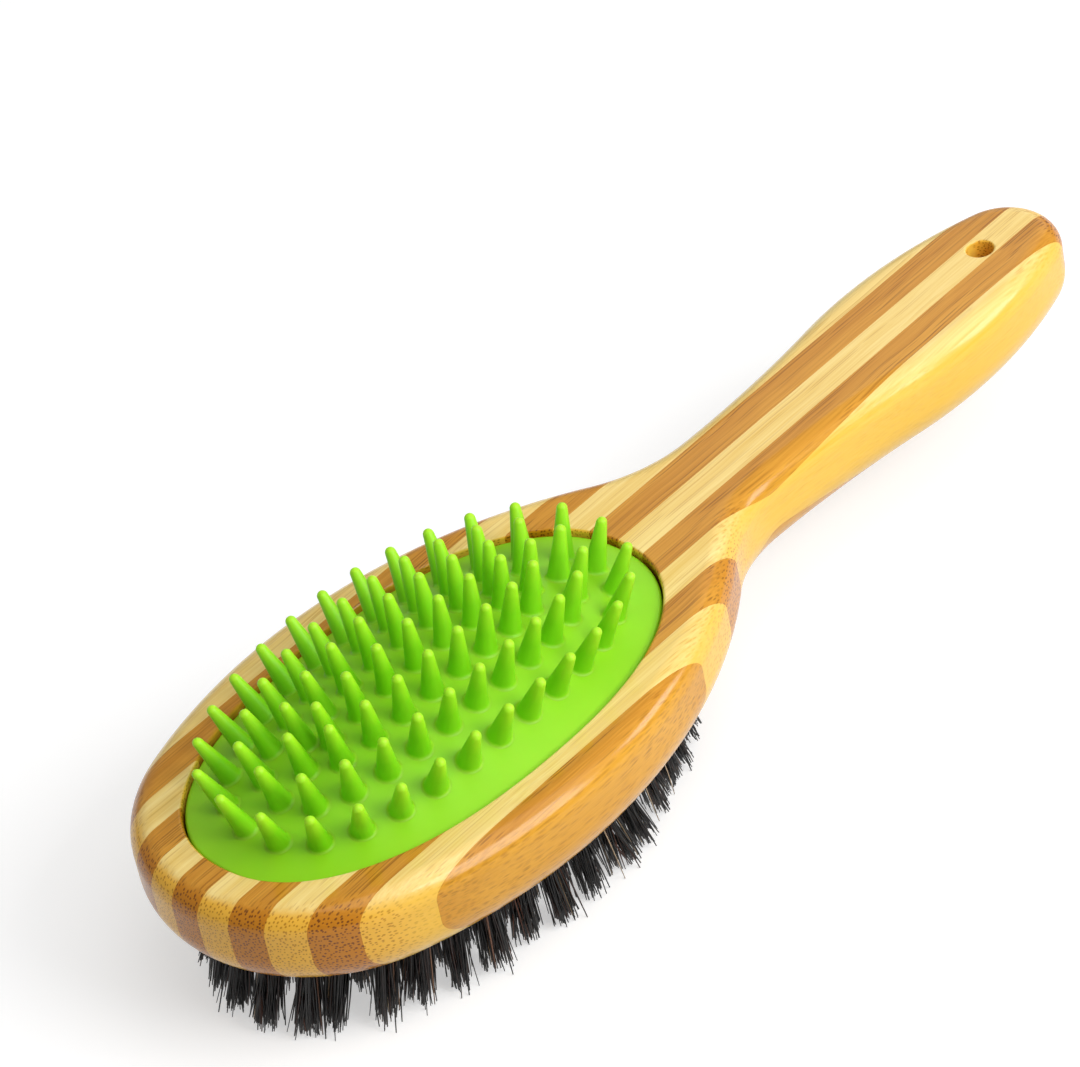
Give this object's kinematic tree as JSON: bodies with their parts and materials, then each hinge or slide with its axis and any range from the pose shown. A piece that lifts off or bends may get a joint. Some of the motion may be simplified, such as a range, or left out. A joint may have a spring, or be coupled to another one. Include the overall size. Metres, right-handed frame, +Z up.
{
  "type": "two-sided grooming brush",
  "caption": "Two-sided grooming brush: laminated bamboo body with a pinned rubber massage pad on one face, bristle tufts on the other, and a hanging hole in the handle.",
  "frame": {"origin": "on the floor under the middle of the bounding box, with the bristle tips on z = 0", "axes": "+X from the tip of the head to the end of the handle, +Z up through the pinned pad"},
  "size_m": [0.225, 0.0763, 0.0507],
  "materials": {
    "natural_bamboo": "clear gloss lacquer",
    "carbonised_bamboo": "clear gloss lacquer",
    "lime_silicone": "satin",
    "black_bristle": "satin"
  },
  "bodies": {
    "root": {"strip_01": "natural_bamboo", "strip_02": "carbonised_bamboo", "strip_03": "natural_bamboo", "strip_04": "carbonised_bamboo", "strip_05": "natural_bamboo", "strip_06": "carbonised_bamboo", "strip_07": "natural_bamboo", "strip_08": "carbonised_bamboo", "strip_09": "natural_bamboo", "strip_10": "carbonised_bamboo", "strip_11": "natural_bamboo", "strip_12": "carbonised_bamboo", "massage_pad": "lime_silicone", "bristle_ring_1": "black_bristle", "bristle_ring_2": "black_bristle", "bristle_ring_3": "black_bristle", "bristle_ring_4": "black_bristle", "bristle_row": "black_bristle"}
  },
  "joints": []
}
